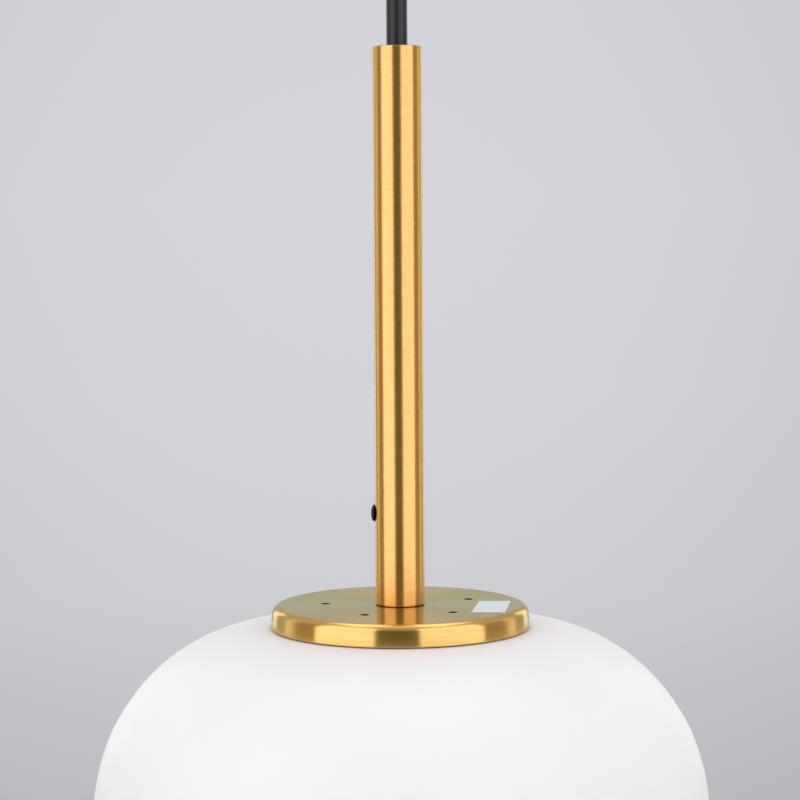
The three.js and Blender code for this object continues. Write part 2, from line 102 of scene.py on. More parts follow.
def polar(radius, degrees):
    angle = math.radians(degrees)
    return radius * math.cos(angle), radius * math.sin(angle)


def round_the_disc(angles):
    """The centres of the disc's small holes at the given angles."""
    return [polar(PLATE_HOLE_CIRCLE, angle) for angle in angles]


def below(depth):
    """Height of a depth measured down from the disc's top face."""
    return DISC - depth


def placed(name, data):
    """A new object that shows the data in the scene."""
    made = bpy.data.objects.new(name, data)
    bpy.context.scene.collection.objects.link(made)
    return made


# ------------------------------------------------------------------ the camera

def set_camera():
    """A long lens at the height of the upper stem, looking slightly down."""
    away, above_disc = 0.9, 142.0
    turns = ((-0.025, "Z"), (90 - 3.724, "X"), (-0.34, "Z"))
    lens = bpy.data.cameras.new("camera")
    lens.lens = 100.0
    lens.sensor_width = 36.0
    lens.clip_start = 0.05
    camera = placed("camera", lens)
    turn = Matrix.Identity(4)
    for degrees, axis in turns:
        turn = turn @ Matrix.Rotation(math.radians(degrees), 4, axis)
    camera.matrix_world = Matrix.Translation((0.0, -away, (DISC + above_disc) * MM)) @ turn
    bpy.context.scene.camera = camera
    bpy.context.scene.view_settings.view_transform = "Standard"


set_camera()


# -------------------------------------------------------------- shader helpers

def hex_colour(code):
    """An sRGB hex value as linear RGBA."""
    parts = [int(code[i:i + 2], 16) / 255 for i in (1, 3, 5)]
    linear = [c / 12.92 if c <= 0.04045 else ((c + 0.055) / 1.055) ** 2.4 for c in parts]
    return (*linear, 1.0)


def set_inputs(tree, node, values):
    """Sets a node's inputs, each to a plain value or to a socket it is linked to."""
    for key, value in values.items():
        if isinstance(value, bpy.types.NodeSocket):
            tree.links.new(value, node.inputs[key])
        else:
            node.inputs[key].default_value = value


def add(tree, kind, settings=None, inputs=None):
    """Adds a node with its settings and its inputs."""
    made = tree.nodes.new(kind)
    for key, value in (settings or {}).items():
        setattr(made, key, value)
    set_inputs(tree, made, inputs or {})
    return made


def maths(tree, operation, first, second, third=0.0):
    """A number made from two others, or from three."""
    node = add(tree, "ShaderNodeMath", {"operation": operation}, {0: first, 1: second, 2: third})
    return node.outputs["Value"]


def vectors(tree, operation, first, second=(0.0, 0.0, 0.0)):
    """A vector made from one or two others."""
    node = add(tree, "ShaderNodeVectorMath", {"operation": operation}, {0: first, 1: second})
    return node.outputs["Vector"]


def blended(tree, factor, first, second):
    """A mix of two colours, each a socket or an sRGB hex value."""
    pair = [hex_colour(c) if isinstance(c, str) else c for c in (first, second)]
    node = add(tree, "ShaderNodeMix", {"data_type": "RGBA"},
               {"Factor": factor, 6: pair[0], 7: pair[1]})
    return node.outputs[2]


def bumped(tree, height, strength, depth):
    """A normal tilted by a relief that is depth millimetres deep."""
    node = add(tree, "ShaderNodeBump", inputs={
        "Strength": strength, "Distance": depth * MM, "Height": height,
    })
    return node.outputs["Normal"]


def bare_tree(owner):
    """The empty node tree of a new material or world."""
    owner.use_nodes = True
    owner.node_tree.nodes.clear()
    return owner.node_tree


def new_material(name):
    """A material with only its output and its principled shader."""
    material = bpy.data.materials.new(name)
    tree = bare_tree(material)
    shader = add(tree, "ShaderNodeBsdfPrincipled")
    add(tree, "ShaderNodeOutputMaterial", inputs={"Surface": shader.outputs["BSDF"]})
    return material, tree, shader


def shaded(tree, factor, stops):
    """A colour ramp over factor, from (position, hex colour) stops."""
    ramp = add(tree, "ShaderNodeValToRGB", inputs={"Fac": factor})
    points = ramp.color_ramp.elements
    points.remove(points[1])
    points[0].position, points[0].color = stops[0][0], hex_colour(stops[0][1])
    for position, code in stops[1:]:
        points.new(position).color = hex_colour(code)
    return ramp.outputs["Color"]


def ranged(tree, value, low, high, source=(0.0, 1.0)):
    """Maps a value onto low..high."""
    node = add(tree, "ShaderNodeMapRange", inputs={
        "Value": value, "From Min": source[0], "From Max": source[1],
        "To Min": low, "To Max": high,
    })
    return node.outputs["Result"]


def noise(tree, vector, scale, detail=2.0, roughness=0.5):
    node = add(tree, "ShaderNodeTexNoise", inputs={
        "Vector": vector, "Scale": scale, "Detail": detail, "Roughness": roughness,
    })
    return node.outputs["Fac"]


def object_place(tree):
    return add(tree, "ShaderNodeTexCoord").outputs["Object"]


# ------------------------------------------------------------------- materials

def round_grain(tree, line):
    """Where a point lies in a lathe-brushed grain about Z, and the way round.

    The first result is a vector that hardly changes round the axis and changes
    quickly across the brush lines, line being their spacing in millimetres.
    """
    round_scale = 2.2
    place = object_place(tree)
    flat = vectors(tree, "MULTIPLY", place, (1.0, 1.0, 0.0))
    way_out = vectors(tree, "NORMALIZE", flat)
    reach = add(tree, "ShaderNodeVectorMath", {"operation": "LENGTH"}, {0: flat})
    parts = add(tree, "ShaderNodeSeparateXYZ", inputs={"Vector": place})
    across = maths(tree, "SUBTRACT", parts.outputs["Z"], reach.outputs["Value"])
    lines = maths(tree, "MULTIPLY", across, 1.0 / (line * MM))
    slow = vectors(tree, "MULTIPLY", way_out, (round_scale, round_scale, round_scale))
    upright = add(tree, "ShaderNodeCombineXYZ", inputs={"Z": lines})
    grain = vectors(tree, "ADD", slow, upright.outputs["Vector"])
    way_round = add(tree, "ShaderNodeVectorTransform",
                    {"vector_type": "VECTOR", "convert_from": "OBJECT", "convert_to": "WORLD"},
                    {"Vector": vectors(tree, "CROSS_PRODUCT", (0.0, 0.0, 1.0), way_out)})
    return grain, way_round.outputs["Vector"]


def lathe_brushed_brass(name, codes, roughness, uneven, spread, relief):
    """Brass tube and spinning, brushed while it turned, then lacquered.

    The fine rings spread a highlight across themselves and keep it narrow
    round the piece, so lamps show as long upright bands with firm sides. The
    lacquer adds a clear grey sheen at glancing angles. Corners, holes and
    seams are darkened with painted shade. The real rings are about 0.1 mm apart:
    they are drawn 0.7 mm apart to show.
    """
    fine, broad = 0.7, 2.6
    material, tree, shader = new_material(name)
    grain, way_round = round_grain(tree, fine)
    coarse, _ = round_grain(tree, broad)
    fine_lines = noise(tree, grain, 1.0, detail=3.0, roughness=0.65)
    broad_lines = noise(tree, coarse, 1.0, detail=1.0)
    clouds = noise(tree, object_place(tree), 28.0)
    rings = maths(tree, "MULTIPLY_ADD", fine_lines, 0.7, ranged(tree, broad_lines, 0.0, 0.3))
    metal = shaded(tree, rings, [(0.30, codes[0]), (0.70, codes[1])])
    # Painted shade: the brass turns dark brown where ambient occlusion finds corners, holes and
    # seams.
    corners = add(tree, "ShaderNodeAmbientOcclusion", {"samples": 8}, {"Distance": 1.8 * MM})
    outside_painted_shade = ranged(tree, corners.outputs["AO"], 0.0, 1.0, (0.25, 0.75))
    cloudy = ranged(tree, clouds, roughness, roughness + 0.03)
    set_inputs(tree, shader, {
        "Base Color": blended(tree, outside_painted_shade, "#2A1D0C", metal), "Metallic": 1.0,
        "Roughness": maths(tree, "MULTIPLY_ADD", rings, uneven, cloudy),
        "Specular Tint": (0.58, 0.68, 0.44, 1.0),
        "Anisotropic": spread, "Anisotropic Rotation": 0.25, "Tangent": way_round,
        "Normal": bumped(tree, rings, relief, 0.02),
        "Coat Weight": 0.5, "Coat Roughness": 0.10, "Coat IOR": 1.5,
    })
    return material


def plain_metal(name, codes, roughness, scale=120.0):
    """Small metal fittings: even, with faint handling marks and dull patches."""
    material, tree, shader = new_material(name)
    place = object_place(tree)
    patches = noise(tree, place, scale, detail=3.0)
    marks = noise(tree, place, scale * 9, roughness=0.7)
    set_inputs(tree, shader, {
        "Base Color": shaded(tree, patches, [(0.35, codes[0]), (0.68, codes[1])]),
        "Metallic": 1.0,
        "Roughness": ranged(tree, patches, roughness - 0.05, roughness + 0.07),
        "Normal": bumped(tree, marks, 0.06, 0.05),
    })
    return material


def plain_plastic(name, codes, roughness, grain=0.35, depth=0.02):
    """Moulded or extruded plastic and rubber, with a fine moulded grain in mm."""
    material, tree, shader = new_material(name)
    place = object_place(tree)
    texture = noise(tree, place, 1.0 / (grain * MM))
    patches = noise(tree, place, 60.0)
    set_inputs(tree, shader, {
        "Base Color": shaded(tree, patches, [(0.3, codes[0]), (0.7, codes[1])]),
        "Roughness": ranged(tree, patches, roughness - 0.04, roughness + 0.05),
        "IOR": 1.5, "Normal": bumped(tree, texture, 0.25, depth),
    })
    return material


def opal_flashed_glass():
    """Mouth-blown opal glass, acid-etched outside.

    White right through, soft in the shadows because light wanders under the
    skin, and satin: lamps show as wide pale glows with no edge.
    """
    material, tree, shader = new_material("glass_opal_acid_etched")
    place = object_place(tree)
    waves = noise(tree, place, 14.0, detail=1.0)
    etch = noise(tree, place, 2600.0)
    set_inputs(tree, shader, {
        "Base Color": shaded(tree, waves, [(0.3, "#EDEAE5"), (0.7, "#F0EDE8")]),
        "Roughness": ranged(tree, waves, 0.44, 0.50),
        "IOR": 1.5,
        "Subsurface Weight": 0.35,
        "Subsurface Radius": (1.0, 0.9, 0.85),
        "Subsurface Scale": 0.006,
        "Normal": bumped(tree, etch, 0.12, 0.02),
    })
    return material


def extruded_cord_sheath():
    """Soft PVC sheath, extruded black: satin, with faint lengthwise draw lines."""
    material, tree, shader = new_material("pvc_black_extruded")
    drawn = vectors(tree, "MULTIPLY", object_place(tree), (900.0, 900.0, 12.0))
    lines = noise(tree, drawn, 1.0)
    set_inputs(tree, shader, {
        "Base Color": shaded(tree, lines, [(0.3, "#151317"), (0.7, "#1D1B1F")]),
        "Roughness": ranged(tree, lines, 0.31, 0.38),
        "IOR": 1.48, "Normal": bumped(tree, lines, 0.2, 0.03),
    })
    return material


def blank_label():
    """Matt paper sticker under a clear film, blank: a cool white, faintly fibrous."""
    material, tree, shader = new_material("paper_label_film_faced")
    place = object_place(tree)
    fibres = noise(tree, place, 900.0)
    clouds = noise(tree, place, 160.0, detail=1.0)
    soft = maths(tree, "MULTIPLY_ADD", clouds, 0.6, ranged(tree, fibres, 0.0, 0.4))
    set_inputs(tree, shader, {
        "Base Color": shaded(tree, soft, [(0.35, "#CFDCD8"), (0.6, "#D9E5E1")]),
        "Roughness": 0.38, "IOR": 1.48,
    })
    return material


BRUSHED_BRASS = lathe_brushed_brass(
    "brass_lathe_brushed_lacquered", ("#DFA75A", "#EDB96E"), 0.265, 0.02, 0.80, 0.05)
BUFFED_BRASS = lathe_brushed_brass(
    "brass_spun_buffed_lacquered", ("#DDAA5A", "#EABC6E"), 0.17, 0.07, 0.93, 0.34)
# Near-black brass for the walls of the disc's holes: painted shade down inside them.
HOLE_WALL_PAINTED_SHADE = plain_metal(
    "brass_hole_wall_painted_shade", ("#241A0C", "#46351B"), 0.5, scale=700.0)
MACHINED_BRASS = plain_metal("brass_free_machined", ("#D8A658", "#E9BC70"), 0.26)
DULL_BRASS = plain_metal("brass_screw_unpolished", ("#6E5226", "#A98544"), 0.42, scale=500.0)
SPRING_STEEL = plain_metal("steel_zinc_plated", ("#A9ADB2", "#C3C6C8"), 0.34)
NICKEL_PLATE = plain_metal("steel_nickel_plated", ("#C9C6BE", "#DCDAD4"), 0.22)
BLACK_OXIDE = plain_metal("steel_black_oxide", ("#1B2A25", "#2C3B35"), 0.34, scale=300.0)
OPAL_GLASS = opal_flashed_glass()
CORD_SHEATH = extruded_cord_sheath()
BLACK_RUBBER = plain_plastic(
    "epdm_rubber_moulded", ("#141414", "#1D1D1D"), 0.72, grain=0.5, depth=0.05)
WHITE_NYLON = plain_plastic("nylon_moulded_white", ("#DDD9CE", "#E8E5DC"), 0.48)
BLACK_RESIN = plain_plastic("phenolic_moulded_black", ("#161616", "#202020"), 0.36)
PORCELAIN = plain_plastic("porcelain_glazed", ("#E9E4DA", "#F2EEE6"), 0.14, grain=3.0, depth=0.03)
LAMP_DIFFUSER = plain_plastic("polycarbonate_opal", ("#F3F1EC", "#F8F6F2"), 0.36, grain=1.5)
PAPER_LABEL = blank_label()
WIRE_BROWN = plain_plastic("pvc_wire_brown", ("#5A3018", "#6A3C20"), 0.40)
WIRE_BLUE = plain_plastic("pvc_wire_blue", ("#26579A", "#3068AC"), 0.40)
WIRE_GREEN = plain_plastic("pvc_wire_green", ("#5C8E1E", "#6FA22C"), 0.40)


# ------------------------------------------------------------ modelling helpers

def oblong(left, right, low, high):
    """The four corners of an upright rectangle, as (across, height)."""
    return [(left, low), (right, low), (right, high), (left, high)]


def bend(radius, height, curve, start, end, steps=8):
    """Points on an arc about (radius, height), from start to end degrees."""
    points = []
    for i in range(steps + 1):
        angle = math.radians(start + (end - start) * i / steps)
        points.append((radius + curve * math.cos(angle), height + curve * math.sin(angle)))
    return points


def eased(outline, curve, steps=3):
    """The closed outline with each corner off the axis rounded by up to curve."""
    count = len(outline)
    points = []
    for i, (r, z) in enumerate(outline):
        here = Vector((r, z))
        before = Vector(outline[i - 1]) - here
        after = Vector(outline[(i + 1) % count]) - here
        if r <= 1e-6 or before.length < 1e-6 or after.length < 1e-6:
            points.append((r, z))
            continue
        angle = before.angle(after)
        if angle > math.radians(155):
            points.append((r, z))
            continue
        reach = min(curve / math.tan(angle / 2), 0.45 * before.length, 0.45 * after.length)
        first = here + before.normalized() * reach
        last = here + after.normalized() * reach
        for j in range(steps + 1):
            t = j / steps
            p = first * (1 - t) ** 2 + here * 2 * t * (1 - t) + last * t ** 2
            points.append((p.x, p.y))
    return points


def spline(points, per_span):
    """A smooth Catmull-Rom curve through the points, in any number of dimensions."""
    knots = [Vector(p) for p in points]
    result = []
    for i in range(len(knots) - 1):
        a = knots[max(i - 1, 0)]
        b, c = knots[i], knots[i + 1]
        d = knots[min(i + 2, len(knots) - 1)]
        for j in range(per_span):
            t = j / per_span
            p = 0.5 * (2 * b + (c - a) * t + (2 * a - 5 * b + 4 * c - d) * t ** 2
                       + (3 * b - a - 3 * c + d) * t ** 3)
            result.append(tuple(p))
    result.append(tuple(knots[-1]))
    return result


def soften(mesh, degrees=32):
    """Smooth shading, kept crisp where faces meet at more than the angle."""
    shape = bmesh.new()
    shape.from_mesh(mesh)
    for face in shape.faces:
        face.smooth = True
    for edge in shape.edges:
        if len(edge.link_faces) == 2:
            edge.smooth = edge.calc_face_angle(0.0) < math.radians(degrees)
    shape.to_mesh(mesh)
    shape.free()


def piece_from(name, vertices, faces, material, degrees=32):
    """A closed piece from vertices in millimetres, with its normals pointing out."""
    mesh = bpy.data.meshes.new(name)
    mesh.from_pydata([[c * MM for c in v] for v in vertices], [], faces)
    shape = bmesh.new()
    shape.from_mesh(mesh)
    bmesh.ops.remove_doubles(shape, verts=shape.verts, dist=1e-7)
    bmesh.ops.recalc_face_normals(shape, faces=shape.faces)
    shape.to_mesh(mesh)
    shape.free()
    soften(mesh, degrees)
    mesh.materials.append(material)
    return placed(name, mesh)


def turned(name, outline, material, segments=96, wave=None, degrees=32):
    """Revolves a (radius, height) outline about Z.

    An outline with both ends on the axis is left open there, any other is
    closed. wave(angle, height) adds to the radius, for threads and knurls.
    """
    open_ended = outline[0][0] < 1e-6 and outline[-1][0] < 1e-6
    vertices, rings = [], []
    for r, z in outline:
        if r < 1e-6:
            rings.append([len(vertices)] * segments)
            vertices.append((0.0, 0.0, z))
            continue
        ring = []
        for k in range(segments):
            angle = 2 * math.pi * k / segments
            reach = r + (wave(angle, z) if wave else 0.0)
            ring.append(len(vertices))
            vertices.append((reach * math.cos(angle), reach * math.sin(angle), z))
        rings.append(ring)
    faces = []
    last = len(rings) - 1 if open_ended else len(rings)
    for i in range(last):
        low, high = rings[i], rings[(i + 1) % len(rings)]
        for k in range(segments):
            n = (k + 1) % segments
            corners = [low[k], low[n], high[n], high[k]]
            face = list(dict.fromkeys(corners))
            if len(face) > 2:
                faces.append(face)
    return piece_from(name, vertices, faces, material, degrees)


def extruded(name, outline, depth, material, corner=0.0):
    """An (x, z) outline given a width along Y, with its long edges bevelled."""
    count = len(outline)
    vertices = [(x, -depth / 2, z) for x, z in outline] + [(x, depth / 2, z) for x, z in outline]
    faces = [list(range(count)), list(range(2 * count - 1, count - 1, -1))]
    for i in range(count):
        n = (i + 1) % count
        faces.append([i, n, count + n, count + i])
    piece = piece_from(name, vertices, faces, material)
    if corner:
        bevel = piece.modifiers.new("edges", "BEVEL")
        bevel.width = corner * MM
        bevel.segments = 2
        bevel.limit_method = "ANGLE"
        bevel.angle_limit = math.radians(40)
        settle(piece)
        soften(piece.data)
    return piece


def evaluated(piece):
    """A plain mesh of the piece as it stands."""
    graph = bpy.context.evaluated_depsgraph_get()
    return bpy.data.meshes.new_from_object(piece.evaluated_get(graph), depsgraph=graph)


def settle(piece):
    """Makes the piece's modifiers part of its mesh."""
    mesh = evaluated(piece)
    piece.modifiers.clear()
    piece.data = mesh
    return piece


def moved(piece, at=(0.0, 0.0, 0.0), turns=()):
    """Turns the mesh by (degrees, axis) steps, then moves it, in millimetres."""
    matrix = Matrix.Translation([c * MM for c in at])
    for degrees, axis in reversed(turns):
        matrix = matrix @ Matrix.Rotation(math.radians(degrees), 4, axis)
    piece.data.transform(matrix)
    return piece


def joined(name, pieces):
    """One piece made of several, which are used up."""
    shape = bmesh.new()
    materials = []
    for piece in pieces:
        start = len(shape.faces)
        shape.from_mesh(piece.data)
        shape.faces.ensure_lookup_table()
        material = piece.data.materials[0]
        if material not in materials:
            materials.append(material)
        for face in shape.faces[start:]:
            face.material_index = materials.index(material)
    mesh = bpy.data.meshes.new(name)
    shape.to_mesh(mesh)
    shape.free()
    for material in materials:
        mesh.materials.append(material)
    whole = placed(name, mesh)
    for piece in pieces:
        bpy.data.objects.remove(piece)
    return whole


def cut(piece, cutters):
    """Takes the cutters, which don't touch each other, out of the piece."""
    material = piece.data.materials[0]
    tool = joined("cutter", cutters)
    tool.data.materials.clear()
    piece.data.materials.clear()
    knife = piece.modifiers.new("cut", "BOOLEAN")
    knife.operation = "DIFFERENCE"
    knife.solver = "EXACT"
    knife.object = tool
    settle(piece)
    bpy.data.objects.remove(tool)
    piece.data.materials.clear()
    piece.data.materials.append(material)
    soften(piece.data)
    return piece


def rod(radius, low, high, segments=40):
    """A plain round bar about Z, to cut holes with."""
    return turned("rod", oblong(0, radius, low, high), BRUSHED_BRASS, segments)


def thread(pitch, depth):
    """Radius added by a rounded screw thread of the given pitch."""
    return lambda angle, height: depth * math.cos(2 * math.pi * height / pitch - angle)


def flutes(count, depth):
    """Radius added by upright flutes round a piece."""
    return lambda angle, height: depth * math.cos(count * angle)


def between(low, high, wave):
    """The wave, kept to the heights between low and high."""
    return lambda angle, height: wave(angle, height) if low < height < high else 0.0


def heights(low, high, step):
    count = max(2, int(abs(high - low) / step))
    return [low + (high - low) * i / count for i in range(count + 1)]


def column(radius, low, high, step):
    """Points along a straight side, close enough together to carry a wave."""
    return [(radius, z) for z in heights(low, high, step)]


def round_line(name, route, radius, material, roundness):
    """A round, capped line along the route, as a curve object."""
    curve = bpy.data.curves.new(name, "CURVE")
    curve.dimensions = "3D"
    curve.bevel_depth = radius * MM
    curve.bevel_resolution = roundness
    curve.use_fill_caps = True
    line = curve.splines.new("POLY")
    line.points.add(len(route) - 1)
    for point, place in zip(line.points, route):
        point.co = (*[c * MM for c in place], 1.0)
    line.use_smooth = True
    curve.materials.append(material)
    return placed(name, curve)


def wire(name, points, radius, material):
    """A round insulated wire through the points, as a mesh."""
    line = round_line(name, spline(points, 5), radius, material, 4)
    mesh = evaluated(line)
    bpy.data.objects.remove(line)
    soften(mesh, 50)
    return placed(name, mesh)


def fitted(piece, body, slot, *nodes):
    """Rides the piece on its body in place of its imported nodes."""
    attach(piece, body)
    if nodes:
        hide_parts(*nodes)
    return piece


# -------------------------------------------------------------- repeated pieces

def placing_tree():
    """Geometry nodes that set a copy of a piece on each point of a mesh."""
    tree = bpy.data.node_groups.new("copies_on_points", "GeometryNodeTree")
    for name, way, kind in (
            ("Points", "INPUT", "Geometry"), ("Piece", "INPUT", "Object"),
            ("Outwards", "INPUT", "Bool"), ("Material", "INPUT", "Material"),
            ("Copies", "OUTPUT", "Geometry")):
        tree.interface.new_socket(name, in_out=way, socket_type=f"NodeSocket{kind}")
    given = add(tree, "NodeGroupInput").outputs
    template = add(tree, "GeometryNodeObjectInfo", inputs={"Object": given["Piece"]})
    place = add(tree, "GeometryNodeInputPosition")
    flat = vectors(tree, "MULTIPLY", place.outputs["Position"], (1.0, 1.0, 0.0))
    turn = add(tree, "FunctionNodeAlignRotationToVector", {"axis": "X", "pivot_axis": "Z"},
               {"Vector": flat})
    none = add(tree, "FunctionNodeAxisAngleToRotation", inputs={"Angle": 0.0})
    chosen = add(tree, "GeometryNodeSwitch", {"input_type": "ROTATION"}, {
        "Switch": given["Outwards"], "False": none.outputs["Rotation"],
        "True": turn.outputs["Rotation"],
    })
    copies = add(tree, "GeometryNodeInstanceOnPoints", inputs={
        "Points": given["Points"], "Instance": template.outputs["Geometry"],
        "Rotation": chosen.outputs["Output"],
    })
    real = add(tree, "GeometryNodeRealizeInstances",
               inputs={"Geometry": copies.outputs["Instances"]})
    finished = add(tree, "GeometryNodeSetMaterial", inputs={
        "Geometry": real.outputs["Geometry"], "Material": given["Material"],
    })
    add(tree, "NodeGroupOutput", inputs={"Copies": finished.outputs["Geometry"]})
    return tree


COPIES = placing_tree()


def copies_at(name, template, places, material, outwards=False):
    """One mesh with a copy of the template at each place. The template is used up."""
    mesh = bpy.data.meshes.new(name)
    mesh.from_pydata([[c * MM for c in p] for p in places], [], [])
    piece = placed(name, mesh)
    layout = piece.modifiers.new("copies", "NODES")
    layout.node_group = COPIES
    values = {"Piece": template, "Outwards": outwards, "Material": material}
    for item in COPIES.interface.items_tree:
        if item.in_out == "INPUT" and item.name in values:
            layout[item.identifier] = values[item.name]
    piece.update_tag()
    settle(piece)
    bpy.data.objects.remove(template)
    soften(piece.data)
    return piece


# -------------------------------------------------------------------- the cord

def make_cord():
    """The free cord from stem to grip, its ball in the grip, its end in the cup."""
    in_stem, in_grip, radius = 8.0, 0.5, half("cord_bend")
    low, high = STEM_TOP - in_stem, CORD_BEND + in_grip
    route = [(0.0, 0.0, z) for z in heights(low, high, 4.0)]
    cord = round_line("cord_free", route, radius, CORD_SHEATH, 10)
    fitted(cord, "pendant", "cord_black", "cord")

    ball = turned("cord_in_grip", bend(0, CORD_BEND, radius, -90, 90, 16), CORD_SHEATH, 48)
    fitted(ball, "cord_knuckle", "cord_black", "cord_bend")
    end = oblong(0, half("cord_tail"), CORD_BEND + 2.0, top("cord_tail"))
    tail = turned("cord_end", eased(end, 0.5), CORD_SHEATH, 48)
    fitted(tail, "ceiling_part", "cord_black", "cord_tail")


make_cord()


# -------------------------------------------------------------- stem and disc

def make_stem():
    """Tube with a side hole for its lock screw, the bush in its top, the foot plug."""
    outer, low, high = half("stem_tube"), DISC + 0.12, top("stem_tube")
    bore = outer - 1.0
    outline = [
        (bore, low), (outer - 0.25, low), *bend(outer - 0.25, low + 0.25, 0.25, -90, 0, 4),
        (outer, low + 1.2), (outer, high - 1.2),
        *bend(outer - 0.4, high - 0.4, 0.4, 0, 90, 5), (bore + 0.2, high), (bore, high - 0.2),
    ]
    tube = turned("stem", outline, BRUSHED_BRASS, 160)
    hole = moved(rod(2.3, 6, 14), LOCK_SCREW_PLACE, LOCK_SCREW_TURNS)
    fitted(cut(tube, [hole]), "pendant", "satin_brass", "stem_tube")

    low, high = span("stem_bush")
    outer = half("stem_bush")
    bush = turned("stem_top_bush", eased([
        (4.5, low), (outer, low), (outer, high), (5.2, high), (4.5, high - 0.7),
    ], 0.3), BLACK_RESIN, 72)
    fitted(bush, "pendant", "black_plastic", "stem_bush")

    ring = oblong(5.3, half("stem_plug"), *span("stem_plug"))
    plug = turned("stem_foot_plug", eased(ring, 0.4), MACHINED_BRASS, 64)
    hole = moved(rod(2.0, 2, 14), LOCK_SCREW_PLACE, LOCK_SCREW_TURNS)
    fitted(cut(plug, [hole]), "pendant", "satin_brass", "stem_plug")


def make_lock_screw():
    """Domed, blackened screw with a driver slot, built about Z, low on the stem."""
    head = turned("lock_screw_head", [
        (0, 10.03), (3.3, 10.03), *bend(3.3, 10.23, 0.2, -90, 0, 3),
        (3.44, 10.55), (3.2, 10.95), (2.7, 11.28), (2.0, 11.52), (1.0, 11.66), (0, 11.7),
    ], BLACK_OXIDE, 64)
    slot = extruded("slot", oblong(-4, 4, 11.3, 13), 0.7, BLACK_OXIDE)
    shank = turned("lock_screw_shank", [
        (0, 5.9), *column(1.5, 5.9, 10.4, 0.12), (0, 10.4),
    ], BLACK_OXIDE, 32, wave=thread(0.7, 0.12))
    screw = joined("stem_lock_screw_steel", [cut(head, [slot]), shank])
    moved(screw, LOCK_SCREW_PLACE, LOCK_SCREW_TURNS)
    fitted(screw, "stem_lock_screw", "dark_screw", "lock_screw")


def make_disc():
    """Spun disc cap: flat face, rounded edge, short skirt, five small holes."""
    outer, low, high = half("disc_cap"), bottom("disc_cap") - 0.25, top("disc_cap")
    wall, round_edge, flare = 1.5, 3.2, 0.5
    flat = outer - round_edge
    outline = [
        (5.4, high), (6.0, high), (flat - 0.8, high),
        *bend(flat, high - round_edge, round_edge, 90, 0, 14),
        (outer + 0.15, high - round_edge - 1.2), (outer + flare, low + 0.6),
        *bend(outer + flare - 0.2, low + 0.2, 0.2, 0, -90, 4),
        (outer - wall + 0.4, low), (outer - wall + 0.1, low + 0.3),
        (outer - wall, high - wall - 2.2),
        *bend(outer - wall - 1.8, high - wall - 1.8, 1.8, 0, 90, 8),
        (outer - wall - 3, high - wall), (5.8, high - wall), (5.4, high - wall),
    ]
    disc = turned("disc", outline, BUFFED_BRASS, 240)
    hole, mouth = 1.8, 1.98
    centres = round_the_disc((*PLATE_SCREW_ANGLES, OPEN_HOLE_ANGLE))
    drills = [moved(turned("drill", [
        (0, high - 4), (hole, high - 4), (hole, high - 0.08), (mouth, high + 0.1),
        (mouth, high + 2), (0, high + 2),
    ], BRUSHED_BRASS, 40), (x, y, 0)) for x, y in centres]
    disc = cut(disc, drills)
    # The walls of the holes are given the near-black brass as painted shade.
    disc.data.materials.append(HOLE_WALL_PAINTED_SHADE)
    for face in disc.data.polygons:
        x, y, z = face.center / MM
        in_hole = any(math.hypot(x - a, y - b) < mouth + 0.01 for a, b in centres)
        if in_hole and z < high - 0.02:
            face.material_index = 1
    fitted(disc, "pendant", "satin_brass", "disc_cap")


def make_label():
    """Blank sticker, flat on the disc."""
    corners = [(28.2, -23.4), (41.6, -23.9), (45.3, 5.2), (32.4, 5.6)]
    count, level, thick = len(corners), DISC + 0.03, 0.1
    vertices = [(x, y, z) for z in (level, level + thick) for x, y in corners]
    faces = [list(range(count))[::-1], list(range(count, 2 * count))]
    for i in range(count):
        n = (i + 1) % count
        faces.append([i, n, count + n, count + i])
    sticker = piece_from("sticker", vertices, faces, PAPER_LABEL)
    fitted(sticker, "pendant", "label_paper", "label")


def make_plate_screws():
    """Four screws up through the clip plate, their dull ends just inside the disc."""
    high = DISC
    head = turned("plate_screw", [
        (0, high - 5.7), (2.2, high - 5.7), *bend(2.4, high - 5.4, 0.3, -90, 0, 3),
        (2.7, high - 3.7), (1.3, high - 3.7), *column(1.32, high - 3.6, high - 0.95, 0.13),
        (1.15, high - 0.78), (0.8, high - 0.66), (0.4, high - 0.61), (0, high - 0.6),
    ], MACHINED_BRASS, 28, wave=between(high - 3.6, high - 0.5, thread(0.5, 0.07)))
    places = [(x, y, 0.0) for x, y in round_the_disc(PLATE_SCREW_ANGLES)]
    screws = copies_at("plate_screws", head, places, DULL_BRASS)
    fitted(screws, "pendant", "satin_brass",
           "plate_screw_a", "plate_screw_b", "plate_screw_c", "plate_screw_e")


make_stem()
make_lock_screw()
make_disc()
make_label()
make_plate_screws()


# -------------------------------------------------------------------- the shade

# Outside of the glass from its neck to the middle of its underside, as
# (radius, depth below the disc's top face).
SHADE_OUTLINE = [
    (49.6, 9.2), (57.0, 9.4), (66.0, 10.3), (74.5, 12.3), (82.3, 15.2), (90.5, 19.7),
    (98.2, 25.3), (106.2, 33.2), (113.5, 43.1), (118.2, 51.6), (121.8, 61.3), (124.0, 70.0),
    (125.2, 79.5), (125.1, 89.0), (123.0, 99.5), (118.2, 110.0), (110.4, 119.4), (99.0, 127.2),
    (85.0, 133.2), (68.0, 137.8), (48.0, 140.8), (25.0, 142.4), (0.0, 143.0),
]


def inner_skin(skin, wall, bore):
    """The inside of the glass, from the middle of its floor up to its neck."""
    points = [(0.0, skin[-1][1] - wall)]
    for i in range(len(skin) - 2, 0, -1):
        ahead, behind = Vector(skin[i - 1]), Vector(skin[i + 1])
        along = (ahead - behind).normalized()
        inwards = Vector((along.y, -along.x))
        r, d = Vector(skin[i]) + inwards * wall
        if r >= skin[i][0] and d >= skin[i][1]:
            r, d = Vector(skin[i]) - inwards * wall
        if r > 3 and (r > bore + 1.5 or d > 60):
            points.append((r, d))
    return points


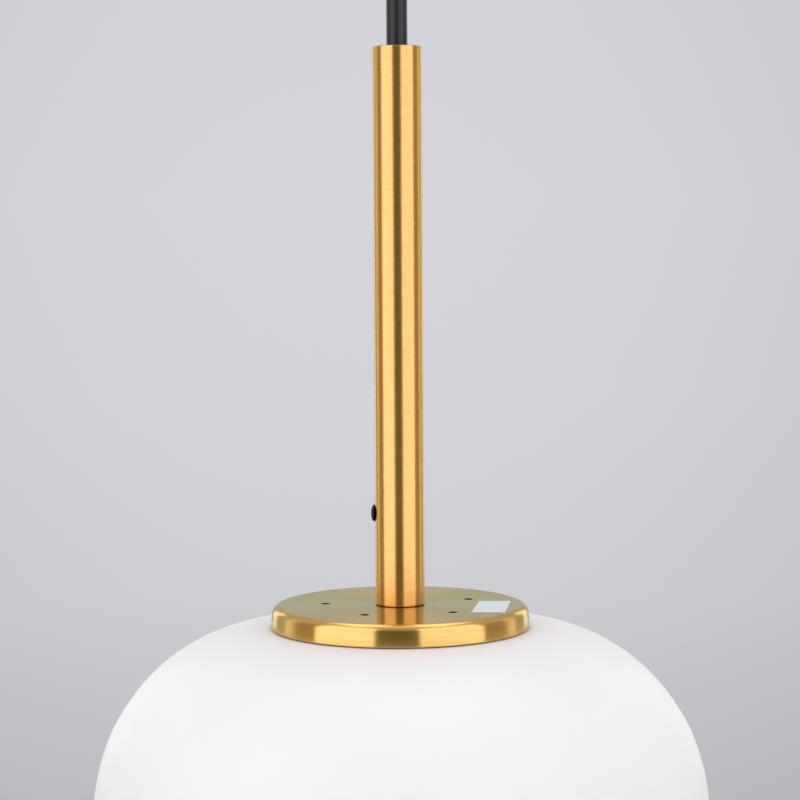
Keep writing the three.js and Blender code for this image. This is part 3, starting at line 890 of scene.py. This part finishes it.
def make_shade():
    """Blown opal shade: wide and squat, closed below, with a short ground neck."""
    wall, bore, rim = 3.4, 43.6, 3.4
    skin = spline(SHADE_OUTLINE, 7)
    skin[-1] = (0.0, skin[-1][1])
    neck_out = [(47.0, rim), (47.4, rim + 0.4), (47.4, 7.6), (47.6, 8.2), (48.2, 8.9)]
    inner = inner_skin(skin, wall, bore)
    neck_in = [(bore + 1.2, 12.9), (bore + 0.3, 12.3), (bore, 11.4), (bore, rim + 0.4),
               (bore + 0.4, rim)]
    outline = [(r, below(d)) for r, d in [*neck_out, *skin, *inner, *neck_in]]
    glass = turned("shade_glass", outline, OPAL_GLASS, 224, degrees=50)
    fitted(glass, "shade", "opal_glass", "glass_shade_upper", "glass_shade_lower")


make_shade()


def make_shade_fixing():
    """Clip plate, spring clips, rivets and the soft ring over the glass."""
    low, high = span("clip_plate")
    plate = turned("clip_carrier", eased(oblong(5.3, half("clip_plate"), low, high), 0.25),
                   SPRING_STEEL, 96)
    holes = [moved(rod(1.7, low - 2, high + 2, 24), (x, y, 0))
             for x, y in round_the_disc(PLATE_SCREW_ANGLES)]
    fitted(cut(plate, holes), "pendant", "zinc_steel", "clip_plate")

    ring = turned("soft_ring", eased(oblong(43.9, 47.2, *span("shade_gasket")), 0.4),
                  BLACK_RUBBER, 96)
    fitted(ring, "pendant", "rubber_black", "shade_gasket")

    spine = spline([
        (20.5, -4.0), (30.0, -4.0), (36.2, -4.1), (38.6, -4.8), (40.2, -6.6), (41.9, -8.8),
        (42.6, -10.4), (41.9, -12.2), (39.8, -15.4), (38.4, -18.2),
    ], 5)
    upper, lower, half_thick = [], [], 0.3
    for i, (r, z) in enumerate(spine):
        along = Vector(spine[min(i + 1, len(spine) - 1)]) - Vector(spine[max(i - 1, 0)])
        along.normalize()
        upper.append((r - along.y * half_thick, z + along.x * half_thick))
        lower.append((r + along.y * half_thick, z - along.x * half_thick))
    for i, angle in enumerate(CLIP_ANGLES, 1):
        leaf = extruded(f"clip_leaf_{i}", upper + lower[::-1], 9.0, SPRING_STEEL, corner=0.15)
        moved(leaf, (0, 0, DISC), [(angle, "Z")])
        fitted(leaf, f"clip_{i}", "zinc_steel", f"spring_clip_{i}")
        x, y = polar(CLIP_RIVET_CIRCLE, angle)
        rivet = turned(f"clip_fixing_{i}", [
            (0, -6.0), (0.9, -5.95), (1.7, -5.7), (2.25, -5.3), (2.4, -4.9), (2.4, -4.4),
            (1.4, -4.4), (1.4, -3.7), (0, -3.7),
        ], SPRING_STEEL, 40)
        fitted(moved(rivet, (x, y, DISC)), f"clip_{i}", "zinc_steel", f"clip_rivet_{i}")


make_shade_fixing()


# ------------------------------------------------------- lamp holder and wiring

def hexagon_nut(name, flats, low, high, bore, material):
    """Hexagon nut with its corners turned off and a countersunk bore."""
    reach = flats / math.sqrt(3)
    vertices, faces = [], []
    for z in (low, high):
        for k in range(6):
            vertices.append((*polar(reach, 60 * k + 30), z))
    faces = [[5, 4, 3, 2, 1, 0], [6, 7, 8, 9, 10, 11]]
    faces += [[k, (k + 1) % 6, 6 + (k + 1) % 6, 6 + k] for k in range(6)]
    prism = piece_from(name, vertices, faces, material)
    corners = turned("corners", [
        (flats / 2 - 0.2, low - 1), (reach + 4, low - 1), (reach + 4, high + 1),
        (flats / 2 - 0.2, high + 1), (reach + 0.1, high - 0.7), (reach + 0.1, low + 0.7),
    ], material, 72)
    prism = cut(prism, [corners])
    hole = turned("hole", [
        (0, low - 1), (bore + 0.9, low - 1), (bore + 0.9, low), (bore, low + 0.7),
        (bore, high - 0.7), (bore + 0.9, high), (bore + 0.9, high + 1), (0, high + 1),
    ], material, 48)
    return cut(prism, [hole])


def make_pipe():
    """Threaded pipe with its nut and toothed washer under the disc."""
    low, high = span("threaded_pipe")
    pipe = turned("threaded_pipe_m10", [
        *column(4.85, low, high, 0.25), (3.7, high), (3.6, high - 0.2), (3.6, low + 0.2),
        (3.7, low),
    ], MACHINED_BRASS, 36, wave=thread(1.0, 0.12))
    fitted(pipe, "pendant", "contact_brass", "threaded_pipe")
    washer = turned("toothed_washer", eased(oblong(5.3, 8.3, *span("pipe_washer")), 0.15),
                    SPRING_STEEL, 120, wave=flutes(15, 0.3))
    fitted(washer, "pendant", "zinc_steel", "pipe_washer")
    nut = hexagon_nut("pipe_locknut", 14, *span("pipe_nut"), 5.15, SPRING_STEEL)
    fitted(nut, "pendant", "zinc_steel", "pipe_nut")


def make_holder():
    """Two-piece moulded lamp holder with its porcelain base and thread shell."""
    joint = bottom("holder_cap")
    cap = turned("holder_dome", eased([
        (5.3, below(11)), (8.2, below(11)), (8.2, below(15.5)), (14, below(17.5)),
        (18.4, below(21.5)), (20, below(26)), (20, joint), (18.2, joint), (18.2, below(26.4)),
        (16.6, below(22.6)), (13, below(19.4)), (5.3, below(18)),
    ], 1.0, 4), BLACK_RESIN, 96)
    fitted(cap, "pendant", "black_plastic", "holder_cap")

    low, high = span("holder_sleeve")
    grip_low, grip_high = low + 3.0, high - 7.0
    sleeve = turned("holder_lower_sleeve", [
        (19.6, high), (20, high - 0.3), (20, grip_high + 0.5),
        *column(19.8, grip_high, grip_low, 1.5), (20, grip_low - 0.5), (20, low + 1.2),
        *bend(19, low + 1, 1, 0, -90, 5), (15.7, low), (15.4, low + 0.3),
        (15.4, low + 1.8), (18.2, low + 1.8), (18.2, high),
    ], BLACK_RESIN, 216, wave=between(grip_low - 0.1, grip_high + 0.1, flutes(36, 0.18)))
    fitted(sleeve, "pendant", "black_plastic", "holder_sleeve")

    low, high = span("holder_base")
    base = turned("holder_porcelain", eased([
        (0, low), (17.4, low), (17.4, high - 1.5), (15.6, high), (0, high),
    ], 0.6), PORCELAIN, 72)
    wells = [extruded("well", oblong(x - 1.7, x + 1.7, low - 1, high + 1), 3.4, PORCELAIN)
             for x in (-9, 9)]
    fitted(cut(base, wells), "pendant", "porcelain", "holder_base")

    outside, inside = [column(r, *span("thread_shell"), 0.3) for r in (14.72, 14.3)]
    shell = turned("holder_thread_shell", outside + inside[::-1], MACHINED_BRASS, 72,
                   wave=thread(LAMP_PITCH, 0.38))
    fitted(shell, "pendant", "contact_brass", "thread_shell")

    spring = spline([(-4.4, 0.35), (1.5, 0.35), (2.6, 0.0), (3.1, -0.5)], 5)
    upper = [(x, z + 0.2) for x, z in spring]
    lower = [(x, z - 0.2) for x, z in spring]
    tongue = extruded("holder_centre_contact", upper + lower[::-1], 3.2, MACHINED_BRASS,
                      corner=0.08)
    moved(tongue, (0, 0, bottom("centre_contact") + 0.75))
    fitted(tongue, "pendant", "contact_brass", "centre_contact")


def make_wires():
    """Coloured wires in the ceiling cup, and the two leads down to the holder."""
    runs = [
        ("live_wire", "wire_live", "ceiling_part", WIRE_BROWN, "wire_brown", [
            (-1.9, -1.2, -16.2), (-2.6, -1.8, -13.8), (-6.5, -3.2, -9.2), (-11, -3.6, -6.8),
            (-16.6, -3.6, -6.4)]),
        ("neutral_wire", "wire_neutral", "ceiling_part", WIRE_BLUE, "wire_blue", [
            (-1.9, 1.4, -16.2), (-2.6, 2, -13.8), (-6.5, 3.4, -9.2), (-11, 3.6, -6.8),
            (-16.6, 3.6, -6.4)]),
        ("earth_wire", "wire_earth", "ceiling_part", WIRE_GREEN, "wire_green", [
            (2.2, 0, -16.1), (3.4, 0.4, -14.4), (6.5, 2.6, -11.4), (9.2, 4.8, -8.8),
            (10, 5.6, -6.9)]),
    ]
    for side, name, node, material, slot in (
            (1, "holder_live_lead", "lead_live", WIRE_BROWN, "wire_brown"),
            (-1, "holder_neutral_lead", "lead_neutral", WIRE_BLUE, "wire_blue")):
        runs.append((name, node, "pendant", material, slot, [
            (1.6 * side, 0, DISC + 61), (1.6 * side, 0, DISC + 30), (1.6 * side, 0, below(2)),
            (1.6 * side, 0, below(12)), (1.7 * side, 0, below(20.4)),
            (4.6 * side, 0, below(23.6)), (9 * side, 0, below(25.2))]))
    for name, node, body, material, slot, points in runs:
        fitted(wire(name, points, WIRE_RADIUS, material), body, slot, node)


def make_lamp():
    """Round screw-in lamp: contact, insulator, threaded cap, collar, globe."""
    body = "lamp"
    low, high = span("lamp_contact")
    contact = turned("lamp_tip", [
        (0, high), (1.4, high - 0.08), (2.6, high - 0.35), (3.8, high - 0.9), (4.4, high - 1.3),
        (4.4, low), (0, low),
    ], NICKEL_PLATE, 48)
    fitted(contact, body, "nickel", "lamp_contact")
    low, high = span("lamp_insulator")
    cone = turned("lamp_insulating_cone", eased([
        (0, high), (5, high), (10.4, low + 0.8), (10.4, low), (0, low),
    ], 0.3), BLACK_RESIN, 64)
    fitted(cone, body, "black_plastic", "lamp_insulator")
    low, high = span("lamp_cap")
    screw_cap = turned("lamp_screw_cap", [
        (0, high), (10.6, high), (11.6, high - 0.3), *column(12.78, high - 1.8, low + 1.6, 0.3),
        (12.6, low + 1.0), (12.6, low), (0, low),
    ], NICKEL_PLATE, 96, wave=between(low + 1.5, high - 1.7, thread(LAMP_PITCH, 0.42)))
    fitted(screw_cap, body, "nickel", "lamp_cap")
    low, high = span("lamp_collar")
    collar = turned("lamp_heat_collar", eased([
        (0, high), (13.4, high), (14.0, high - 1.2), (16.8, high - 10.2), (19.9, low + 0.6),
        (19.9, low), (0, low),
    ], 0.8, 4), WHITE_NYLON, 96)
    fitted(collar, body, "nylon_white", "lamp_collar")
    centre, radius, wall = below(93), half("lamp_envelope"), 1.2
    rim = math.degrees(math.acos(20.0 / radius))
    neck = top("lamp_envelope")
    globe = turned("lamp_globe", [
        (19.9, neck), *bend(0, centre, radius, rim, -90, 30)[:-1], (0.0, centre - radius),
        (0.0, centre - radius + wall), *bend(0, centre, radius - wall, -90, rim, 30)[1:],
        (18.8, neck),
    ], LAMP_DIFFUSER, 96, degrees=50)
    fitted(globe, body, "lamp_opal", "lamp_envelope")
    board = turned("lamp_light_board", eased(oblong(0, 17.6, *span("lamp_board")), 0.2),
                   WHITE_NYLON, 64)
    fitted(board, body, "nylon_white", "lamp_board")


make_pipe()
make_holder()
make_wires()
make_lamp()


# ------------------------------------------------------------------ ceiling end

def make_cup():
    """Brushed brass ceiling cup, rounded below, with a hole for each side screw."""
    outer, low, high = half("ceiling_cup"), *span("ceiling_cup")
    wall, round_edge = 1.2, 3.2
    outline = [
        (6.4, low), (7.0, low), (outer - round_edge - 0.8, low),
        *bend(outer - round_edge, low + round_edge, round_edge, -90, 0, 12),
        (outer, low + 5), (outer, high - 1), (outer - 0.2, high - 0.1),
        (outer - wall + 0.2, high - 0.1), (outer - wall, high - 0.4), (outer - wall, low + 5),
        *bend(outer - wall - 2, low + wall + 2, 2, 0, -90, 6),
        (outer - 6, low + wall), (7.0, low + wall), (6.4, low + wall),
    ]
    cup = turned("cup", outline, BRUSHED_BRASS, 192)
    holes = [moved(rod(2.2, -4, 4), (side * outer, 0, CUP_SCREW_HEIGHT), [(90, "Y")])
             for side in (-1, 1)]
    fitted(cut(cup, holes), "ceiling_part", "satin_brass", "ceiling_cup")


def make_cup_screws():
    """Knurled thumb screws: a ribbed head on a threaded shank, along X."""
    ribs_round, rib_circle = 30, 3.7
    for side, name, body in ((-1, "left", "left_cup_screw"), (1, "right", "right_cup_screw")):
        head = turned("head", [
            (0, 0.3), (3.5, 0.3), (3.75, 0.55), (3.75, 1.0), (3.75, 4.0), (3.6, 4.4),
            (3.1, 4.8), (0, 4.9),
        ], MACHINED_BRASS, 64)
        rib = extruded("rib", [(3.6, 1.0), (3.98, 1.15), (3.98, 3.85), (3.6, 4.0)], 0.3,
                       MACHINED_BRASS)
        moved(rib, (-rib_circle, 0, 0))
        places = [(*polar(rib_circle, 360 * k / ribs_round), 0.0) for k in range(ribs_round)]
        ribs = copies_at("ribs", rib, places, MACHINED_BRASS, outwards=True)
        shank = turned("shank", [
            (0, -7.2), *column(1.6, -7.2, 0.35, 0.15), (0, 0.35),
        ], MACHINED_BRASS, 32, wave=thread(0.7, 0.1))
        screw = joined(f"thumb_screw_{name}", [head, ribs, shank])
        moved(screw, (side * CUP_SCREW_SEAT, 0, CUP_SCREW_HEIGHT), [(90 * side, "Y")])
        fitted(screw, body, "satin_brass", f"cup_screw_{name}")


def make_grip():
    """Cord grip under the cup: flanged body, locking nut, domed cap, bush."""
    cup_low = bottom("ceiling_cup")
    body = turned("grip_flanged_body", eased([
        (4.9, -33), (6.1, -33), (6.1, cup_low - 3), (9, cup_low - 3), (9, cup_low - 0.3),
        (6.1, cup_low - 0.3), (6.1, top("grip_body")), (4.9, top("grip_body")),
    ], 0.3), BRUSHED_BRASS, 72)
    fitted(body, "ceiling_part", "satin_brass", "grip_body")
    nut = hexagon_nut("grip_locknut", 17, *span("grip_nut"), 6.3, NICKEL_PLATE)
    fitted(nut, "ceiling_part", "nickel", "grip_nut")
    low, high = span("grip_cap")
    cap = turned("grip_domed_cap", [
        (6.4, high), (8.8, high), (9, high - 0.2), (9, low + 2), *bend(7, low + 2, 2, 0, -90, 8),
        (6.3, low), (5.95, low + 0.15), (5.65, low + 0.6), (5.35, low + 1.4), (5.15, low + 2.3),
        (5.5, low + 3), (6.4, low + 3),
    ], BRUSHED_BRASS, 96)
    fitted(cap, "ceiling_part", "satin_brass", "grip_cap")
    bush = turned("grip_rubber_bush", eased(oblong(4.6, 6.1, *span("grip_bush")), 0.3),
                  BLACK_RUBBER, 48)
    fitted(bush, "ceiling_part", "rubber_black", "grip_bush")


def make_bracket():
    """Bent steel strap with screw slots, an earth hole and open-ended ears."""
    low, high = ends("ceiling_bracket")
    reach, width, thick = high[0], high[1] - low[1], 1.6
    outline = [
        (-reach, low[2]), (-reach + thick, low[2]),
        *bend(-reach + thick + 0.8, -thick - 0.8, 0.8, 180, 90, 4),
        *bend(reach - thick - 0.8, -thick - 0.8, 0.8, 90, 0, 4),
        (reach - thick, low[2]), (reach, low[2]),
        *bend(reach - thick, -thick, thick, 0, 90, 5),
        *bend(-reach + thick, -thick, thick, 90, 180, 5),
    ]
    strap = extruded("ceiling_strap", outline, width, SPRING_STEEL)
    cutters = []
    for side in (-1, 1):
        x = side * 26.0
        slot = [(x - 4.5 + px, py) for px, py in bend(0, 0, 2.5, 90, 270, 10)]
        slot += [(x + 4.5 + px, py) for px, py in bend(0, 0, 2.5, -90, 90, 10)]
        cutters.append(moved(extruded("slot", slot, 12, SPRING_STEEL), turns=[(90, "X")]))
        mouth = [(-2.3, -30), (2.3, -30), *bend(0, CUP_SCREW_HEIGHT + 0.6, 2.3, 0, 180, 10)]
        ear = extruded("ear_slot", mouth, 8, SPRING_STEEL)
        cutters.append(moved(ear, (side * reach, 0, 0), [(90, "Z")]))
    cutters.append(moved(rod(1.7, -6, 4, 24), EARTH_SCREW_PLACE))
    fitted(cut(strap, cutters), "ceiling_part", "zinc_steel", "ceiling_bracket")


def make_terminals():
    """White two-way terminal block with its clamp screws, and the earth screw."""
    low, high = ends("terminal_block")
    x_mid = (low[0] + high[0]) / 2
    block = extruded("terminal_housing", oblong(low[0], high[0], low[2], high[2]),
                     high[1] - low[1], WHITE_NYLON, corner=0.6)
    ways = [moved(rod(1.5, -12, 12, 32), (x_mid, y, -6.4), [(90, "Y")]) for y in TERMINAL_ROWS]
    cut(block, ways)
    screw_places = [(x_mid + dx, y, 0.0) for y in TERMINAL_ROWS for dx in TERMINAL_SCREW_STEPS]
    cut(block, [moved(rod(1.5, -16, -6.6, 32), place) for place in screw_places])
    valley = extruded("valley", oblong(x_mid - 12, x_mid + 12, low[2] - 1, low[2] + 2.5),
                      1.2, WHITE_NYLON)
    cut(block, [valley])
    fitted(block, "ceiling_part", "nylon_white", "terminal_block")

    low, high = span("terminal_screw_1")
    screw = turned("clamp_screw", eased(oblong(0, 1.2, low, high), 0.2), NICKEL_PLATE, 32)
    cut(screw, [extruded("groove", oblong(-2, 2, low - 1, low + 0.7), 0.5, NICKEL_PLATE)])
    screws = copies_at("clamp_screws", screw, screw_places, NICKEL_PLATE)
    fitted(screws, "ceiling_part", "nickel", *[f"terminal_screw_{i}" for i in (1, 2, 3, 4)])

    washer = turned("earth_cup_washer", eased(oblong(1.9, 3.8, *span("earth_washer")), 0.25),
                    MACHINED_BRASS, 48)
    fitted(moved(washer, EARTH_SCREW_PLACE), "ceiling_part", "contact_brass", "earth_washer")
    low, high = span("earth_screw")
    screw = turned("earth_clamp_screw", [
        (0, low), (2.7, low), *bend(2.8, low + 0.3, 0.3, -90, 0, 3), (3.1, low + 2.3),
        (1.35, low + 2.3), *column(1.35, low + 2.35, high, 0.15), (0, high),
    ], MACHINED_BRASS, 36)
    cut(screw, [extruded("groove", oblong(-4, 4, low - 1, low + 0.9), 0.7, MACHINED_BRASS)])
    fitted(moved(screw, EARTH_SCREW_PLACE), "ceiling_part", "contact_brass", "earth_screw")


make_cup()
make_cup_screws()
make_grip()
make_bracket()
make_terminals()


# ----------------------------------------------------------------- the studio

def emitting(name, stops, low, high):
    """Paper that glows by itself, as painted light: brighter with height in metres, dimmer at the
    sides.
    """
    material = bpy.data.materials.new(name)
    tree = bare_tree(material)
    parts = add(tree, "ShaderNodeSeparateXYZ", inputs={"Vector": object_place(tree)})
    level = ranged(tree, parts.outputs["Z"], 0.0, 1.0, (low, high))
    aside = maths(tree, "ADD", parts.outputs["X"], 0.08)
    squared = maths(tree, "POWER", aside, 2.0)
    glow = add(tree, "ShaderNodeEmission", inputs={
        "Color": shaded(tree, level, stops),
        "Strength": ranged(tree, squared, 1.0, 0.9, (0.0, 0.6)),
    })
    add(tree, "ShaderNodeOutputMaterial", inputs={"Surface": glow.outputs["Emission"]})
    return material


def make_backdrop():
    """Pale paper sweep: a floor that curves up into a wall behind the light."""
    floor, wall, curve, reach, ceiling = -2.2, 2.6, 0.5, 4.0, 3.0
    section = [(-reach, floor), (wall - curve, floor)]
    section += [(wall - curve + curve * math.sin(math.radians(a)),
                 floor + curve - curve * math.cos(math.radians(a))) for a in range(5, 90, 5)]
    section += [(wall, floor + curve), (wall, ceiling)]
    vertices = [(x / MM, y / MM, z / MM) for y, z in section for x in (-reach, reach)]
    faces = [[2 * i, 2 * i + 1, 2 * i + 3, 2 * i + 2] for i in range(len(section) - 1)]
    # Painted light: the sweep's glow rises from grey at the floor to pale above.
    paper = emitting("paper_sweep_painted_light", [
        (0.0, "#B4B6BA"), (0.15, "#BEC0C4"), (0.24, "#C5C6CA"), (0.35, "#CECFD3"),
        (0.56, "#D3D4D8"), (0.77, "#D5D6DA"), (1.0, "#D2D3D8"),
    ], -1.25, 0.25)
    sweep = piece_from("backdrop", vertices, faces, paper, 60)


def round_the_light(away, degrees, height):
    """A place in metres, at an angle from the front, counted towards the right."""
    angle = math.radians(degrees)
    return away * math.sin(angle), -away * math.cos(angle), height


def softbox(name, place, size, strength, aim):
    """A large diffused lamp, (width, height) in size, that faces the aim point."""
    width, height = size
    lamp = bpy.data.lights.new(name, "AREA")
    lamp.shape = "RECTANGLE"
    lamp.size, lamp.size_y, lamp.energy = width, height, strength * math.pi * width * height
    lamp.color = (0.98, 0.99, 1.13)
    made = placed(name, lamp)
    made.visible_camera = False
    made.location = place
    made.rotation_euler = (Vector(aim) - Vector(place)).to_track_quat("-Z", "Y").to_euler()


def light_studio():
    """Softboxes: a tall one each side of the camera, two behind, one overhead.

    The gap between the front two gives the dark band down the brass, and the two
    behind give its bright rims.
    """
    front, level, tall = 1.3, -0.13, 2.4
    for name, angle, spread, strength in (
            ("softbox_left", -50.6, 28.6, 1.5), ("softbox_right", 47.2, 30.6, 1.38)):
        size = (2 * front * math.tan(math.radians(spread)), tall)
        softbox(name, round_the_light(front, angle, level), size, strength, (0.0, 0.0, level))
    for name, angle in (("softbox_back_left", 180 + 31), ("softbox_back_right", 180 - 31)):
        softbox(name, round_the_light(2.2, angle, 0.0), (0.62, 1.3), 1.0, (0.0, 0.0, -0.3))
    softbox("softbox_top", (0.0, 0.25, 1.3), (1.6, 1.2), 1.5, (0.0, 0.0, -0.25))


def surround():
    """The room in the reflections: dim in front, bright behind, pale overhead.

    Seen straight on, past the edge of the paper sweep, it is a grey that darkens downwards,
    painted light like the sweep's.
    """
    world = bpy.data.worlds.new("studio")
    bpy.context.scene.world = world
    tree = bare_tree(world)
    direction = add(tree, "ShaderNodeTexCoord").outputs["Generated"]
    parts = add(tree, "ShaderNodeSeparateXYZ", inputs={"Vector": direction})
    level = ranged(tree, parts.outputs["Y"], 0.0, 1.0, (-1.0, 1.0))
    room = shaded(tree, level, [
        (0.0, "#585E44"), (0.2, "#5A5844"), (0.45, "#A39A82"), (0.62, "#A89F88"),
        (0.71, "#FFFDF6"), (0.78, "#FFFDF6"), (0.9, "#CCCDD0"),
    ])
    overhead = ranged(tree, parts.outputs["Z"], 0.0, 1.0, (0.25, 0.75))
    downwards = ranged(tree, parts.outputs["Z"], 0.0, 1.0, (-0.36, -0.03))
    paper = shaded(tree, downwards, [(0.0, "#ACAEB2"), (1.0, "#CFD0D4")])
    seen = add(tree, "ShaderNodeLightPath").outputs["Is Camera Ray"]
    colour = blended(tree, seen, blended(tree, overhead, room, "#CDCCCC"), paper)
    back = add(tree, "ShaderNodeBackground", inputs={"Color": colour})
    add(tree, "ShaderNodeOutputWorld", inputs={"Surface": back.outputs["Background"]})


make_backdrop()
light_studio()
surround()
